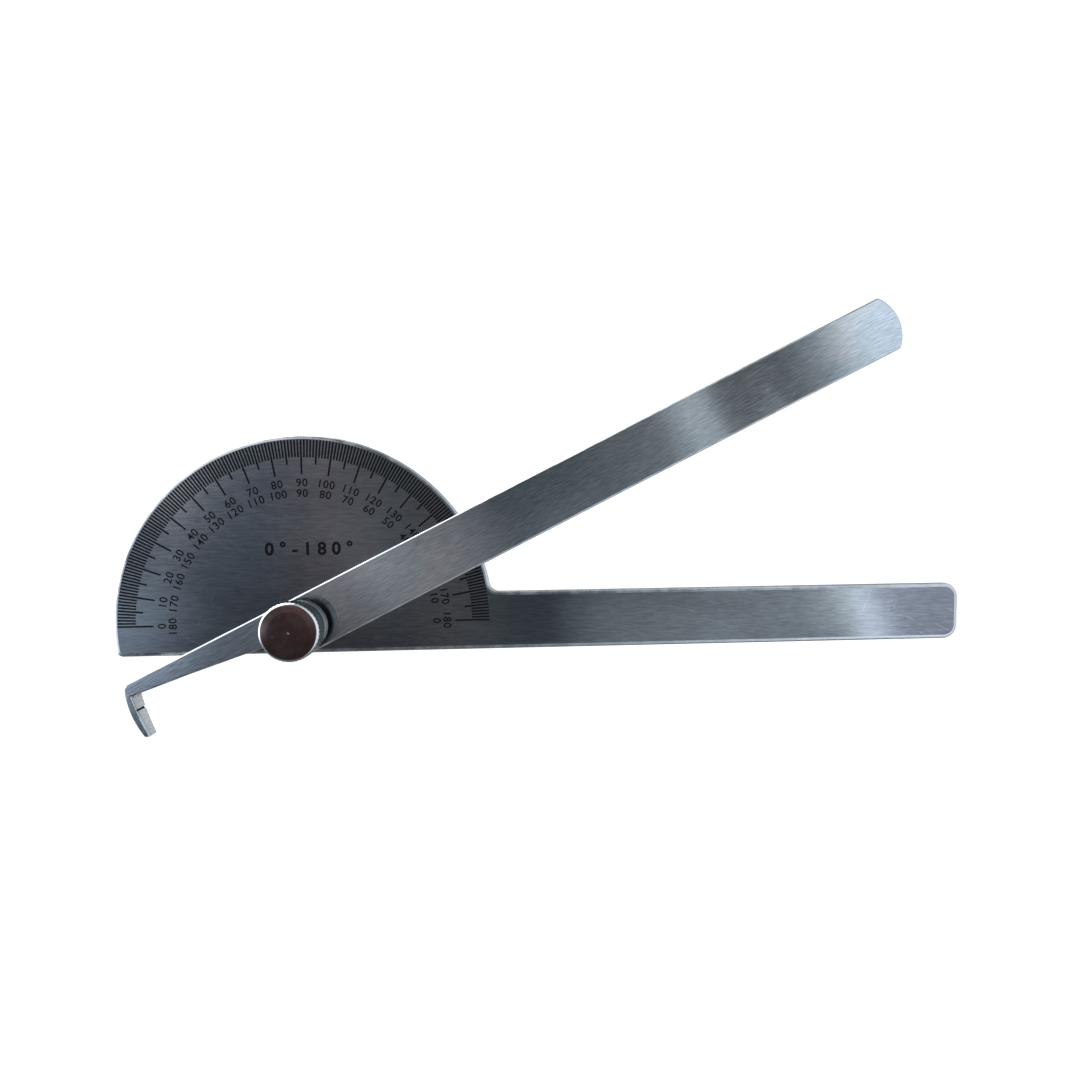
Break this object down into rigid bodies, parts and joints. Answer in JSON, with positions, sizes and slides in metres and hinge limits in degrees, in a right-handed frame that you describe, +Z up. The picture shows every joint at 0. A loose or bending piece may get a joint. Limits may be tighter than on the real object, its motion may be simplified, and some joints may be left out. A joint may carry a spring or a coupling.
{
  "type": "protractor",
  "caption": "Flat steel protractor: half-round engraved scale with a fixed arm, a pivoting arm with an index lip, and a knurled thumb nut that clamps the arm.",
  "frame": {"origin": "on the pivot's axis, in the plane of the plate's underside, at the centre of the stud's flush head", "axes": "+X along the fixed arm away from the pivot, +Y towards the half-round scale, +Z up through the plate, the arm and the thumb nut"},
  "size_m": [0.1778, 0.0874, 0.0111],
  "materials": {
    "plate_steel": "brushed along the fixed arm, marks etched and filled black",
    "arm_steel": "brushed along the arm, edges broken bright",
    "stud_steel": "turned",
    "washer_nylon": "matte moulded",
    "washer_steel": "turned, satin",
    "nut_steel": "knurled side, polished top"
  },
  "bodies": {
    "plate_body": {"protractor_plate": "plate_steel", "pivot_stud": "stud_steel", "friction_washer": "washer_nylon"},
    "arm_body": {"moving_arm": "arm_steel", "flat_washer": "washer_steel"},
    "nut_body": {"thumb_nut": "nut_steel"}
  },
  "joints": [
    {"name": "arm_swing", "type": "hinge", "parent": "plate_body", "child": "arm_body", "pos_m": [0, 0, 0.0038], "axis": [0, 0, 1], "continuous": true},
    {"name": "nut_turn", "type": "hinge", "parent": "plate_body", "child": "nut_body", "pos_m": [0, 0, 0.009], "axis": [0, 0, 1], "range_deg": [0, 360]}
  ]
}
